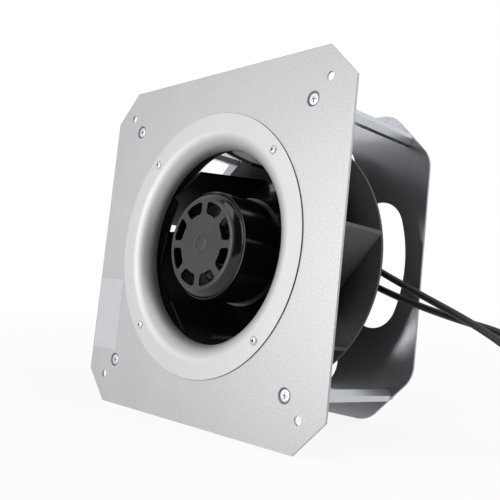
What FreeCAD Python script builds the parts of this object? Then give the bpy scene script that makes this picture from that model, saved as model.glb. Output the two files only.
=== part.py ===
import FreeCAD, Part
import math
import os

# Plug fan with an external rotor motor. Millimetres.
# The fan turns about the Y axis. Air enters at -Y through the square front plate.
# The origin is on the axis at the front face of the front plate, with Z up.

# Inlet ring, pressed from sheet. The plates and the impeller take their size from its throat
throat_radius = 84.0
bell_radius = 15.0
throat_length = 2.0
ring_flange_width = 14.25
ring_sheet = 1.0
ring_opening_clearance = 1.5

# Front plate
plate_border = 36.75
plate_corner = 27.5
plate_thickness = 2.0
mount_inset = 25.0
mount_hole_diameter = 7.0

# How far cutting shapes run past the faces they cut
margin = 1.0

# Blind rivets of the inlet ring
rivet_inset = 6.0
rivet_head_diameter = 7.5
rivet_head_height = 1.4
rivet_crown_drop = 0.4
rivet_mouth_depth = 0.9
rivet_body_diameter = 4.0
rivet_tail_diameter = 5.6
rivet_tail_length = 4.0
rivet_bore_diameter = 2.0
rivet_clearance = 0.05

# Spacers between the plates
spacer_inset = 40.0
spacer_width = 10.0
spacer_length = 124.0
spacer_edge = 0.8
spacer_thread_depth = 16.0

# Screws of the spacers
screw_diameter = 5.0
thread_clearance = 0.05
screw_reach = 12.0
countersunk_diameter = 9.2
countersunk_rim = 0.3
countersunk_sink = 0.5
countersunk_gap = 0.1
dimple_diameter = 12.0
hex_head_width = 8.0
hex_head_height = 3.5
washer_diameter = 10.0
washer_thickness = 1.0
screw_hole_clearance = 0.25

# Rear plate with four curved windows
rear_inset = 15.6
rear_chamfer_inset = 41.3
rear_corner_radius = 25.0
rear_thickness = 2.0
window_inset = 40.4
window_half_width = 23.9
window_half_angle = 19.6

# Motor base, cast, with the bearing tube
base_foot_radius = 42.0
base_foot_height = 8.0
base_foot_ledge = 5.0
base_disc_radius = 44.0
base_disc_height = 5.0
base_gap = 2.0
base_edge = 1.5
spigot_radius = 15.0
spigot_height = 1.6
spigot_clearance = 0.2
tube_radius = 14.0
tube_front = 13.0
base_screw_inset = 12.0
base_screw_head_diameter = 8.5
base_screw_head_height = 5.0
base_screw_key_width = 4.0
base_screw_reach = 10.0
bearing_shoulder = 1.0
cap_thickness = 1.5
cap_depth = 6.0

# Bearings
bearing_diameter = 22.0
bearing_bore = 8.0
bearing_width = 7.0
bearing_ring_wall = 2.0
ball_clearance = 0.05
balls_in_bearing = 7
front_bearing_place = 14.0
rear_bearing_place = 74.0
bearing_fit = 0.02

# Stator
stator_radius = 33.1
stator_front = 27.0
stator_length = 38.0
stator_teeth = 12
tooth_width = 4.4
tooth_tip = 2.2
stator_yoke = 8.0
slot_mouth = 2.4
winding_depth = 13.0
winding_gap = 0.3
winding_sleeve = 1.5
winding_crown_share = 0.6
coil_bulge = 4.6

# Rotor cup
rotor_radius = 46.5
rotor_wall = 1.8
rotor_front = -2.0
rotor_rear = 84.0
face_radius = 40.0
face_edge = 2.0
shoulder_front = 1.2
shoulder_rear = 4.0
rim_edge = 1.4
rim_start_angle = 290.0
vent_inner_radius = 25.8
vent_outer_radius = 36.4
vent_count = 8
spoke_width = 6.5
vent_corner = 1.6
boss_radius = 6.0
boss_ring_radius = 8.0
boss_ring_width = 1.8
boss_ring_height = 0.5
air_gap = 0.4
rotor_core_fit = 0.05
rotor_core_front = 25.0
rotor_core_length = 42.0
shaft_groove = 0.5
clip_thickness = 0.9
clip_width = 2.6
clip_gap_angle = 60.0
shaft_end = 3.0

# Impeller
shroud_reach = 31.0
disc_thickness = 2.5
hub_fit = 0.03
hub_front = 47.6
hub_wall = 2.1
hub_draft = 1.6
hub_straight = 9.4
hub_fillet = 36.0
hub_skirt_end = 80.0
blade_count = 7
blade_thickness = 2.8
blade_length_front = 86.0
blade_length_rear = 99.0
blade_front = 19.0
blade_incline = 42.0
blade_sagitta = 2.2
blade_edge_angle = 11.0
blade_root = 1.0
eye_clearance = 1.0
eye_overlap = 3.0
shroud_fillet = 20.0
shroud_fillet_start = 18.5
shroud_sweep = 80.0
shroud_thickness = 2.2
blade_spare = 8.0

# Leads
lead_diameter = 5.8
bend_share = 0.45
lead_exit_x = 58.0
lead_exit_inset = 14.0
lead_exit_z = -5.5
lead_spacing = 15.0
gland_diameter = 10.0
gland_tip_diameter = 8.0
gland_collar_diameter = 11.6
gland_collar_length = 3.0
gland_sink = 3.0
gland_pad_wall = 1.5
coil_radius = 32.0
coil_centre_x = 352.0
coil_centre_y = 83.2
coil_climb_end = 145.0
coil_gap_angle = 50.0
core_diameter = 1.8
core_length = 10.0
core_count = 3
core_gap = 0.1

# Routes of the leads, from the gland to the coil, chosen by hand
upper_route = [
    (58.0, 112.0, 2.0),
    (83.0, 112.0, 2.0),
    (128.0, 111.5, -18.1),
    (208.0, 110.0, -50.2),
    (246.0, 110.2, -76.5),
    (280.0, 110.6, -107.0),
    (314.0, 111.0, -133.6),
    (352.0, 111.1, -133.55),
]
lower_route = [
    (58.0, 112.0, -13.0),
    (80.0, 112.0, -13.0),
    (122.0, 118.0, -28.8),
    (170.0, 120.0, -41.3),
    (220.0, 120.0, -50.4),
    (256.0, 119.2, -72.5),
    (284.0, 118.3, -101.5),
    (317.0, 117.0, -132.85),
    (352.0, 116.9, -132.85),
]

# Places that follow from the sizes above
ring_flange_inner = throat_radius + bell_radius
ring_diameter = 2 * (ring_flange_inner + ring_flange_width)
rivet_circle = 2 * (ring_flange_inner + rivet_inset)
plate_width = ring_diameter + 2 * plate_border
plate_rear = plate_thickness
mount_spacing = plate_width - 2 * mount_inset
spacer_place = plate_width / 2 - spacer_inset
rear_width = plate_width - 2 * rear_inset
rear_chamfer_reach = rear_width - rear_chamfer_inset
window_radius = rear_width / 2 - window_inset
rear_front = plate_rear + spacer_length
rear_rear = rear_front + rear_thickness
lead_exit_y = rear_front - lead_exit_inset
spacer_corners = [(right, up) for right in (1, -1) for up in (1, -1)]
ring_rear = bell_radius - ring_sheet + throat_length
base_front = rotor_rear + base_gap
base_body_radius = base_foot_radius - base_foot_ledge
base_screw_circle = 2 * (base_foot_radius - base_screw_inset)
gland_start = base_body_radius - gland_sink
hub_fillet_start = hub_front + hub_straight
disc_front = hub_fillet_start + hub_fillet
rotor_inner_radius = rotor_radius - rotor_wall
shaft_radius = bearing_bore / 2
eye_radius = throat_radius + ring_sheet + eye_clearance
impeller_radius = eye_radius + shroud_reach
floor_slope = (plate_width - rear_width) / 2 / (rear_rear - plate_rear)
lean = math.degrees(math.atan(floor_slope))

ORIGIN = FreeCAD.Vector(0, 0, 0)
FAN_AXIS = FreeCAD.Vector(0, 1, 0)


def vector(x, y, z=0.0):
    return FreeCAD.Vector(x, y, z)


def line(start, end):
    return Part.LineSegment(start, end).toShape()


def arc(start, middle, end):
    return Part.Arc(start, middle, end).toShape()


def on_circle(centre, radius, angle):
    """Point at an angle, in degrees, on a circle in the plane of X and Y."""
    turn = math.radians(angle)
    return centre + vector(radius * math.cos(turn), radius * math.sin(turn))


def profile(points):
    """Closed straight outline of (radius, place on the axis)."""
    corners = [vector(*point) for point in points]
    return [line(a, b) for a, b in zip(corners, corners[1:] + corners[:1])]


def turned(edges):
    """Solid of revolution about the fan axis."""
    return Part.Face(Part.Wire(edges)).revolve(ORIGIN, FAN_AXIS, 360)


def cylinder(radius, start, end, x=0.0, z=0.0):
    """Round bar along the fan axis between two places."""
    return Part.makeCylinder(radius, end - start, vector(x, start, z), FAN_AXIS)


def tube(outer, inner, start, end):
    return cylinder(outer, start, end).cut(cylinder(inner, start, end))


def around(shape, angle):
    """Copy turned about the fan axis, anticlockwise as seen from the front."""
    copy = shape.copy()
    copy.rotate(ORIGIN, FAN_AXIS, -angle)
    return copy


def pattern(shape, count, first=0.0):
    return [around(shape, first + 360 / count * number) for number in range(count)]


def at(shape, x, z):
    return shape.translated(vector(x, 0, z))


def rounded_plate(corners, radius, start, end):
    """Sheet with a rounded outline of (x, z) corners, between two places on the axis."""
    edges = []
    joints = []
    for number, corner in enumerate(corners):
        here = vector(corner[0], start, corner[1])
        before = corners[number - 1]
        after = corners[(number + 1) % len(corners)]
        back = (vector(before[0], start, before[1]) - here).normalize()
        ahead = (vector(after[0], start, after[1]) - here).normalize()
        half = back.getAngle(ahead) / 2
        reach = radius / math.tan(half)
        inward = (back + ahead).normalize()
        middle = here + inward * (radius / math.sin(half) - radius)
        joints.append((here + back * reach, middle, here + ahead * reach))
    for number, joint in enumerate(joints):
        edges.append(line(joints[number - 1][2], joint[0]))
        edges.append(arc(*joint))
    return Part.Face(Part.Wire(edges)).extrude(vector(0, end - start, 0))


def hexagon(width, start, end):
    """Hexagonal bar along the axis with a corner towards +X."""
    reach = width / math.sqrt(3)
    corners = []
    for number in range(7):
        turn = math.radians(60 * number)
        corners.append(vector(reach * math.cos(turn), start, reach * math.sin(turn)))
    return Part.Face(Part.makePolygon(corners)).extrude(vector(0, end - start, 0))


def countersunk_outline(gap):
    """Radii and places of a countersunk head, widened by a gap all round."""
    radius = countersunk_diameter / 2
    rim = countersunk_sink + countersunk_rim
    return [
        (radius + gap, countersunk_sink),
        (radius + gap, rim),
        (screw_diameter / 2 + gap, rim + radius - screw_diameter / 2),
    ]


def countersink():
    """Dimple and seat that a countersunk screw sinks into."""
    seat = countersunk_outline(countersunk_gap)
    deep = seat[-1][1]
    points = [(0, -margin), (dimple_diameter / 2, -margin), (dimple_diameter / 2, 0)] + seat
    return turned(profile(points + [(0, deep)]))


def front_plate():
    half = plate_width / 2
    inner = half - plate_corner
    corners = [(half, inner), (inner, half), (-inner, half), (-half, inner)]
    corners += [(-half, -inner), (-inner, -half), (inner, -half), (half, -inner)]
    outline = [vector(x, 0, z) for x, z in corners + corners[:1]]
    plate = Part.Face(Part.makePolygon(outline)).extrude(vector(0, plate_thickness, 0))
    opening = ring_flange_inner + ring_opening_clearance
    tools = [cylinder(opening, -margin, plate_rear + margin)]
    hole = cylinder(mount_hole_diameter / 2, -margin, plate_rear + margin)
    for right, up in spacer_corners:
        tools.append(at(hole, right * mount_spacing / 2, up * mount_spacing / 2))
        tools.append(at(countersink(), right * spacer_place, up * spacer_place))
    rivet_hole = cylinder(rivet_body_diameter / 2 + rivet_clearance, -margin, plate_rear + margin)
    for x, z in rivet_places():
        tools.append(at(rivet_hole, x, z))
    return plate.cut(tools)


def rivet_places():
    reach = rivet_circle / 2 / math.sqrt(2)
    return [(right * reach, up * reach) for right, up in spacer_corners]


def inlet_ring():
    """Flat flange on the plate that rolls inwards as a bellmouth."""
    outer = ring_diameter / 2
    centre = vector(ring_flange_inner, bell_radius - ring_sheet)
    front_arc = [on_circle(centre, bell_radius, angle) for angle in (270, 225, 180)]
    rear_radius = bell_radius - ring_sheet
    rear_arc = [on_circle(centre, rear_radius, angle) for angle in (180, 225, 270)]
    throat_end = vector(throat_radius, ring_rear)
    back_end = vector(throat_radius + ring_sheet, ring_rear)
    edges = [
        line(vector(outer, -ring_sheet), front_arc[0]),
        arc(*front_arc),
        line(front_arc[2], throat_end),
        line(throat_end, back_end),
        line(back_end, rear_arc[0]),
        arc(*rear_arc),
        line(rear_arc[2], vector(outer, 0)),
        line(vector(outer, 0), vector(outer, -ring_sheet)),
    ]
    hole = cylinder(rivet_body_diameter / 2 + rivet_clearance, -ring_sheet - margin, margin)
    return turned(edges).cut([at(hole, x, z) for x, z in rivet_places()])


def rivet():
    """Blind rivet with a domed head in front and a folded tail behind the plate."""
    head = rivet_head_diameter / 2
    body = rivet_body_diameter / 2
    bore = rivet_bore_diameter / 2
    seat = -ring_sheet
    crown = seat - rivet_head_height
    tail_end = plate_rear + rivet_tail_length
    floor = crown + rivet_mouth_depth
    shoulder = vector((head + bore) / 2, crown + rivet_crown_drop)
    edges = [
        line(vector(0, floor), vector(bore, floor)),
        line(vector(bore, floor), vector(bore, crown)),
        arc(vector(bore, crown), shoulder, vector(head, seat)),
        line(vector(head, seat), vector(body, seat)),
        line(vector(body, seat), vector(body, plate_rear)),
        line(vector(body, plate_rear), vector(rivet_tail_diameter / 2, plate_rear)),
        line(vector(rivet_tail_diameter / 2, plate_rear), vector(body, tail_end)),
        line(vector(body, tail_end), vector(0, tail_end)),
        line(vector(0, tail_end), vector(0, floor)),
    ]
    return turned(edges)


def inlet_ring_rivets():
    return Part.makeCompound([at(rivet(), x, z) for x, z in rivet_places()])


def spacer():
    """Hexagonal bar with broken ends and a threaded hole at each end."""
    corner = spacer_width / math.sqrt(3)
    ends = profile([
        (0, plate_rear),
        (corner - spacer_edge, plate_rear),
        (corner, plate_rear + spacer_edge),
        (corner, rear_front - spacer_edge),
        (corner - spacer_edge, rear_front),
        (0, rear_front),
    ])
    bar = hexagon(spacer_width, plate_rear, rear_front).common(turned(ends))
    bore = screw_diameter / 2 + thread_clearance
    front_hole = cylinder(bore, plate_rear - margin, plate_rear + spacer_thread_depth)
    rear_hole = cylinder(bore, rear_front - spacer_thread_depth, rear_front + margin)
    return bar.cut([front_hole, rear_hole, countersink()])


def front_spacer_screw():
    head = countersunk_outline(0)
    end = countersunk_sink + screw_reach
    shank = [(screw_diameter / 2, end), (0, end)]
    return turned(profile([(0, countersunk_sink)] + head + shank))


def front_spacer_screws():
    screw = front_spacer_screw()
    return Part.makeCompound(
        [at(screw, right * spacer_place, up * spacer_place) for right, up in spacer_corners]
    )


def rear_spacer_screws():
    seat = rear_rear + washer_thickness
    head = hexagon(hex_head_width, seat, seat + hex_head_height)
    screw = head.fuse(cylinder(screw_diameter / 2, seat - screw_reach, seat))
    return Part.makeCompound(
        [at(screw, right * spacer_place, up * spacer_place) for right, up in spacer_corners]
    )


def rear_spacer_washers():
    hole = screw_diameter / 2 + thread_clearance
    washer = tube(washer_diameter / 2, hole, rear_rear, rear_rear + washer_thickness)
    return Part.makeCompound(
        [at(washer, right * spacer_place, up * spacer_place) for right, up in spacer_corners]
    )


def window():
    """Curved window centred on +X, with round ends."""
    inner = window_radius - window_half_width
    outer = window_radius + window_half_width
    ring = tube(outer, inner, rear_front - margin, rear_rear + margin)
    reach = outer * 2
    half = math.radians(window_half_angle)
    front = rear_front - margin
    tip = vector(reach * math.cos(half), front, reach * math.sin(half))
    low = vector(tip.x, front, -tip.z)
    apex = vector(0, front, 0)
    wedge = Part.Face(Part.makePolygon([apex, tip, low, apex]))
    sector = ring.common(wedge.extrude(vector(0, rear_thickness + 2 * margin, 0)))
    end = cylinder(window_half_width, rear_front - margin, rear_rear + margin, window_radius)
    return sector.fuse([around(end, window_half_angle), around(end, -window_half_angle)])


def rear_plate():
    half = rear_width / 2
    inner = rear_chamfer_reach - half
    corners = [(half, inner), (inner, half), (-inner, half), (-half, inner)]
    corners += [(-half, -inner), (-inner, -half), (inner, -half), (half, -inner)]
    plate = rounded_plate(corners, rear_corner_radius, rear_front, rear_rear)
    front = rear_front - margin
    back = rear_rear + margin
    tools = pattern(window(), 4)
    spacer_hole = cylinder(screw_diameter / 2 + screw_hole_clearance, front, back)
    for right, up in spacer_corners:
        tools.append(at(spacer_hole, right * spacer_place, up * spacer_place))
    tools.append(cylinder(spigot_radius + spigot_clearance, front, back))
    tools += pattern(at(spacer_hole, base_screw_circle / 2, 0), 4, 45)
    return plate.cut(tools)


def motor_base():
    """Spool-shaped casting: foot, body, disc behind the rotor and bearing tube."""
    seat = bearing_diameter / 2
    rear_seat_front = rear_bearing_place
    front_seat_rear = front_bearing_place + bearing_width
    foot_front = rear_front - base_foot_height
    disc_rear = base_front + base_disc_height
    shoulder = seat - bearing_shoulder
    outline = profile([
        (seat, tube_front),
        (tube_radius, tube_front),
        (tube_radius, base_front),
        (base_disc_radius - base_edge, base_front),
        (base_disc_radius, base_front + base_edge),
        (base_disc_radius, disc_rear),
        (base_body_radius, disc_rear),
        (base_body_radius, foot_front),
        (base_foot_radius - base_edge, foot_front),
        (base_foot_radius, foot_front + base_edge),
        (base_foot_radius, rear_front),
        (spigot_radius, rear_front),
        (spigot_radius, rear_front + spigot_height),
        (seat, rear_front + spigot_height),
        (seat, rear_seat_front),
        (shoulder, rear_seat_front),
        (shoulder, front_seat_rear),
        (seat, front_seat_rear),
    ])
    casting = turned(outline)
    pad_radius = gland_collar_diameter / 2 + gland_pad_wall
    pad_start = base_body_radius / 2
    pad_length = gland_start + gland_collar_length - pad_start
    pads = []
    holes = []
    for height in gland_heights():
        pads.append(sideways(pad_radius, pad_length, pad_start, height))
        holes.append(sideways(gland_diameter / 2, lead_exit_x, gland_start, height))
    screw_start = rear_rear - base_screw_reach - margin
    screw_hole = cylinder(screw_diameter / 2 + thread_clearance, screw_start, rear_rear + margin)
    holes += pattern(at(screw_hole, base_screw_circle / 2, 0), 4, 45)
    return casting.fuse(pads).cut(holes).removeSplitter()


def sideways(radius, length, x, z):
    """Round bar along +X where a lead leaves the motor base."""
    return Part.makeCylinder(radius, length, vector(x, lead_exit_y, z), vector(1, 0, 0))


def gland_heights():
    return [lead_exit_z + lead_spacing / 2, lead_exit_z - lead_spacing / 2]


def lead_glands():
    """Rubber sleeves that taper along the leads."""
    root = gland_diameter / 2
    tip = gland_tip_diameter / 2
    length = lead_exit_x - gland_start
    collar_start = gland_collar_length
    sleeve = Part.makeCylinder(root, collar_start, ORIGIN, vector(1, 0, 0))
    collar = Part.makeCylinder(
        gland_collar_diameter / 2, gland_collar_length, vector(collar_start, 0, 0), vector(1, 0, 0)
    )
    taper_start = collar_start + gland_collar_length
    taper = Part.makeCone(root, tip, length - taper_start, vector(taper_start, 0, 0), vector(1, 0, 0))
    gland = sleeve.fuse([collar, taper])
    return Part.makeCompound(
        [gland.translated(vector(gland_start, lead_exit_y, height)) for height in gland_heights()]
    )


def motor_base_screws():
    head = cylinder(base_screw_head_diameter / 2, rear_rear, rear_rear + base_screw_head_height)
    crown = rear_rear + base_screw_head_height
    socket = hexagon(base_screw_key_width, crown - base_screw_head_height / 2, crown + margin)
    shank = cylinder(screw_diameter / 2, rear_rear - base_screw_reach, rear_rear)
    screw = head.fuse(shank).cut(socket)
    return Part.makeCompound(pattern(at(screw, base_screw_circle / 2, 0), 4, 45))


def bearing_cap():
    """Pressed cup that closes the bearing bore from behind."""
    outer = bearing_diameter / 2 - bearing_fit
    rear = rear_front + spigot_height
    cap = cylinder(outer, rear - cap_depth, rear)
    hollow = cylinder(outer - cap_thickness, rear - cap_depth - margin, rear - cap_thickness)
    return cap.cut(hollow)


def bearing_places():
    return [front_bearing_place, rear_bearing_place]


def bearing_outer_rings():
    outer = bearing_diameter / 2 - bearing_fit
    inner = bearing_diameter / 2 - bearing_ring_wall
    return Part.makeCompound(
        [tube(outer, inner, place, place + bearing_width) for place in bearing_places()]
    )


def bearing_inner_rings():
    outer = shaft_radius + bearing_ring_wall
    inner = shaft_radius + bearing_fit
    return Part.makeCompound(
        [tube(outer, inner, place, place + bearing_width) for place in bearing_places()]
    )


def bearing_balls():
    inner = shaft_radius + bearing_ring_wall
    outer = bearing_diameter / 2 - bearing_ring_wall
    radius = (outer - inner) / 2 - ball_clearance
    balls = []
    for place in bearing_places():
        centre = vector((inner + outer) / 2, place + bearing_width / 2, 0)
        balls += pattern(Part.makeSphere(radius, centre), balls_in_bearing)
    return Part.makeCompound(balls)


def stator_core():
    """Laminated star: a bored yoke, teeth and wide tooth tips."""
    rear = stator_front + stator_length
    bore = tube_radius + bearing_fit
    yoke = tube(bore + stator_yoke, bore, stator_front, rear)
    reach = stator_radius - tooth_tip / 2 - bore - stator_yoke / 2
    tooth = Part.makeBox(
        reach, stator_length, tooth_width, vector(bore + stator_yoke / 2, stator_front, -tooth_width / 2)
    )
    tips = tube(stator_radius, stator_radius - tooth_tip, stator_front, rear)
    mouth = Part.makeBox(
        stator_radius, stator_length, slot_mouth, vector(stator_yoke, stator_front, -slot_mouth / 2)
    )
    half_pitch = 180 / stator_teeth
    tips = tips.cut(pattern(mouth, stator_teeth, half_pitch))
    return yoke.fuse(pattern(tooth, stator_teeth)).fuse(tips).removeSplitter()


def stator_windings():
    """End turns on both sides of the core: a ring with one bulge on each tooth."""
    rear = stator_front + stator_length
    inner = tube_radius + winding_gap + winding_sleeve
    outer = stator_radius - tooth_tip - winding_gap
    middle = (inner + outer) / 2
    half = (outer - inner) / 2
    solids = []
    for start, end in ((stator_front - winding_depth, stator_front), (rear, rear + winding_depth)):
        crown = start if end == stator_front else end
        foot = end if end == stator_front else start
        side = (foot - crown) / abs(foot - crown)
        band = turned(profile([
            (middle - half, foot),
            (middle + half, foot),
            (middle + half, crown + side * half),
            (middle + half * winding_crown_share, crown + side * coil_bulge / 2),
            (middle - half * winding_crown_share, crown + side * coil_bulge / 2),
            (middle - half, crown + side * half),
        ]))
        bulge = Part.makeSphere(coil_bulge, vector(middle, crown + side * coil_bulge, 0))
        solids.append(band.fuse(pattern(bulge, stator_teeth)).removeSplitter())
    return Part.makeCompound(solids)


def vents():
    """Slots between constant-width spokes in the face of the rotor cup."""
    front = rotor_front - margin
    depth = shoulder_rear - front
    ring = tube(vent_outer_radius, vent_inner_radius, front, shoulder_rear)
    corner = vector(0, front - margin, -spoke_width / 2)
    spoke = Part.makeBox(vent_outer_radius + margin, depth + 2 * margin, spoke_width, corner)
    sectors = ring.cut(pattern(spoke, vent_count)).Solids
    rounded = []
    for sector in sectors:
        edges = [edge for edge in sector.Edges if along_axis(edge)]
        rounded.append(sector.makeFillet(vent_corner, edges))
    return rounded


def along_axis(edge):
    ends = [vertex.Point for vertex in edge.Vertexes]
    if len(ends) < 2:
        return False
    run = ends[1] - ends[0]
    return math.hypot(run.x, run.z) < 0.001


def rotor_cup():
    """Deep drawn cup: vented face, stepped shoulder, rim and open rear end."""
    inner_face = rotor_front + rotor_wall
    inner_face_radius = face_radius - rotor_wall
    rim_start = shoulder_rear + rim_edge
    inner_shoulder = shoulder_front + rotor_wall
    face_centre = vector(face_radius - face_edge, rotor_front + face_edge)
    face_arc = [on_circle(face_centre, face_edge, angle) for angle in (270, 315, 360)]
    rim_centre = vector(rotor_radius - rim_edge, rim_start)
    rim_angles = (rim_start_angle, (rim_start_angle + 360) / 2, 360)
    rim_arc = [on_circle(rim_centre, rim_edge, angle) for angle in rim_angles]
    boss_end = front_bearing_place
    points = [
        vector(face_radius, shoulder_front),
        vector(rotor_radius, rotor_rear),
        vector(rotor_inner_radius, rotor_rear),
        vector(rotor_inner_radius, rim_start + rotor_wall),
        vector(inner_face_radius, inner_shoulder),
        vector(inner_face_radius, inner_face),
        vector(boss_radius, inner_face),
        vector(boss_radius, boss_end),
        vector(0, boss_end),
        vector(0, rotor_front),
    ]
    edges = [line(vector(0, rotor_front), face_arc[0]), arc(*face_arc)]
    edges += [line(face_arc[2], points[0]), line(points[0], rim_arc[0]), arc(*rim_arc)]
    edges.append(line(rim_arc[2], points[1]))
    edges += [line(a, b) for a, b in zip(points[1:], points[2:])]
    cup = turned(edges)
    emblem = tube(
        boss_ring_radius, boss_ring_radius - boss_ring_width, rotor_front - boss_ring_height, rotor_front
    )
    shaft_hole = cylinder(shaft_radius + bearing_fit, shaft_end, boss_end + margin)
    return cup.fuse(emblem).cut(vents() + [shaft_hole])


def rotor_core():
    outer = rotor_inner_radius - rotor_core_fit
    rear = rotor_core_front + rotor_core_length
    return tube(outer, stator_radius + air_gap, rotor_core_front, rear)


def clip_place():
    return rear_bearing_place + bearing_width


def shaft():
    place = clip_place()
    groove = tube(shaft_radius + margin, shaft_radius - shaft_groove, place, place + clip_thickness)
    return cylinder(shaft_radius, shaft_end, place + shaft_end).cut(groove)


def shaft_clip():
    """Open retaining ring in the groove of the shaft."""
    place = clip_place()
    inner = shaft_radius - shaft_groove + bearing_fit
    ring = tube(inner + clip_width, inner, place, place + clip_thickness)
    reach = 2 * (inner + clip_width)
    half = math.radians(clip_gap_angle / 2)
    tip = vector(reach * math.cos(half), place, reach * math.sin(half))
    apex = vector(0, place, 0)
    wedge = Part.Face(Part.makePolygon([apex, tip, vector(tip.x, place, -tip.z), apex]))
    return ring.cut(wedge.extrude(vector(0, clip_thickness, 0)))


def shroud_section():
    """Edges of the shroud wall, and of the space in front of its flow side."""
    centre = vector(eye_radius + shroud_fillet, shroud_fillet_start)
    end_angle = 180 - shroud_sweep
    middle_angle = 180 - shroud_sweep / 2
    flow_arc = [on_circle(centre, shroud_fillet, angle) for angle in (180, middle_angle, end_angle)]
    outer_radius = shroud_fillet - shroud_thickness
    back_arc = [on_circle(centre, outer_radius, angle) for angle in (end_angle, middle_angle, 180)]
    rise = math.tan(math.radians(90 - shroud_sweep))
    flow_rim = vector(impeller_radius, flow_arc[2].y + (impeller_radius - flow_arc[2].x) * rise)
    back_rim = vector(impeller_radius, back_arc[0].y + (impeller_radius - back_arc[0].x) * rise)
    return flow_arc, flow_rim, back_rim, back_arc


def impeller_shroud():
    """Front wall of the impeller: a short collar at the eye that flares outwards."""
    flow_arc, flow_rim, back_rim, back_arc = shroud_section()
    lip = ring_rear - eye_overlap
    flow_lip = vector(flow_arc[0].x, lip)
    back_lip = vector(back_arc[2].x, lip)
    return turned([
        line(flow_lip, flow_arc[0]),
        arc(*flow_arc),
        line(flow_arc[2], flow_rim),
        line(flow_rim, back_rim),
        line(back_rim, back_arc[0]),
        arc(*back_arc),
        line(back_arc[2], back_lip),
        line(back_lip, flow_lip),
    ])


def space_before_shroud():
    """Everything in front of the flow side, which the blades must not enter."""
    flow_arc, flow_rim, _, _ = shroud_section()
    front = vector(flow_arc[0].x, 0)
    corner = vector(impeller_radius + blade_spare, 0)
    rim_corner = vector(impeller_radius + blade_spare, flow_rim.y)
    return turned([
        line(front, flow_arc[0]),
        arc(*flow_arc),
        line(flow_arc[2], flow_rim),
        line(flow_rim, rim_corner),
        line(rim_corner, corner),
        line(corner, front),
    ])


def blade():
    """Backward inclined blade: a slightly curved strip with a slanted leading edge."""
    half = blade_thickness / 2
    width = disc_front + blade_root - blade_front
    length = blade_length_rear
    start = vector(-blade_spare, -half)
    middle = vector(length / 2, blade_sagitta - half)
    end = vector(length - half, -half)
    rise = vector(0, blade_thickness)
    tip = vector(length, 0)
    strip = Part.Face(Part.Wire([
        arc(start, middle, end),
        arc(end, tip, end + rise),
        arc(end + rise, middle + rise, start + rise),
        line(start + rise, start),
    ])).extrude(vector(0, 0, width))
    side = Part.Face(Part.makePolygon([
        vector(-blade_spare, -blade_spare, 0),
        vector(blade_length_front, -blade_spare, 0),
        vector(blade_length_rear, -blade_spare, width),
        vector(-blade_spare, -blade_spare, width),
        vector(-blade_spare, -blade_spare, 0),
    ])).extrude(vector(0, 3 * blade_spare, 0))
    body = strip.common(side)
    # The strip is built with its length along X, its curve along Y and its width along Z.
    body.rotate(ORIGIN, vector(1, 0, 0), -90)
    body.translate(vector(0, blade_front, 0))
    body.rotate(ORIGIN, FAN_AXIS, -(180 + blade_incline))
    body.translate(vector(impeller_radius, 0, 0))
    return body


def impeller_wheel():
    """Hub sleeve, flaring dome, back disc and blades, moulded in one piece."""
    bore = rotor_radius + hub_fit
    sleeve = bore + hub_wall
    foot = sleeve + hub_draft
    centre = vector(foot + hub_fillet, hub_fillet_start)
    inner_fillet = hub_fillet + disc_thickness
    flow_arc = [on_circle(centre, hub_fillet, angle) for angle in (180, 135, 90)]
    skirt = bore + disc_thickness
    skirt_angle = 180 - math.degrees(math.acos((centre.x - skirt) / inner_fillet))
    middle_angle = (90 + skirt_angle) / 2
    back_arc = [on_circle(centre, inner_fillet, angle) for angle in (90, middle_angle, skirt_angle)]
    corners = [
        vector(impeller_radius, disc_front),
        vector(impeller_radius, disc_front + disc_thickness),
        back_arc[0],
    ]
    skirt_corners = [
        back_arc[2],
        vector(skirt, hub_skirt_end),
        vector(bore, hub_skirt_end),
        vector(bore, hub_front),
        vector(sleeve, hub_front),
        flow_arc[0],
    ]
    edges = [arc(*flow_arc)]
    edges += [line(a, b) for a, b in zip([flow_arc[2]] + corners, corners)]
    edges.append(arc(*back_arc))
    edges += [line(a, b) for a, b in zip(skirt_corners, skirt_corners[1:])]
    hub = turned(edges)
    trimmed = blade().common(cylinder(impeller_radius, 0, disc_front + blade_root))
    trimmed = trimmed.cut(space_before_shroud())
    blades = pattern(trimmed, blade_count, blade_edge_angle)
    return hub.fuse(blades).removeSplitter()


def smooth_path(points):
    """Straight runs joined by tangent arcs, as large as the runs allow."""
    places = [vector(*point) for point in points]
    edges = []
    radii = []
    here = places[0]
    for before, corner, after in zip(places, places[1:], places[2:]):
        back = before - corner
        ahead = after - corner
        reach = bend_share * min(back.Length, ahead.Length)
        half_turn = (math.pi - back.getAngle(ahead)) / 2
        radius = reach / math.tan(half_turn)
        back.normalize()
        ahead.normalize()
        start = corner + back * reach
        end = corner + ahead * reach
        inward = (back + ahead).normalize()
        middle = corner + inward * (radius / math.cos(half_turn) - radius)
        edges.append(line(here, start))
        edges.append(arc(start, middle, end))
        radii.append(round(radius, 1))
        here = end
    edges.append(line(here, places[-1]))
    return Part.Wire(edges), radii


def lead(name, route):
    """Plain round tube along a route."""
    path, radii = smooth_path(route)
    start = vector(*route[0])
    direction = vector(*route[1]) - start
    section = Part.Wire(Part.makeCircle(lead_diameter / 2, start, direction))
    solid = path.makePipeShell([section], True, False)
    expected = math.pi * lead_diameter ** 2 / 4 * path.Length
    print(name, "radii", radii, "length", round(path.Length, 1))
    print(name, "volume", round(solid.Volume, 1), "section times length", round(expected, 1))
    return solid


def on_floor(shape):
    """Lay a shape built on the plane z = 0 on the surface that both plates stand on."""
    laid = shape.copy()
    laid.rotate(vector(0, plate_rear, 0), vector(1, 0, 0), lean)
    laid.translate(vector(0, 0, -plate_width / 2))
    return laid


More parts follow.
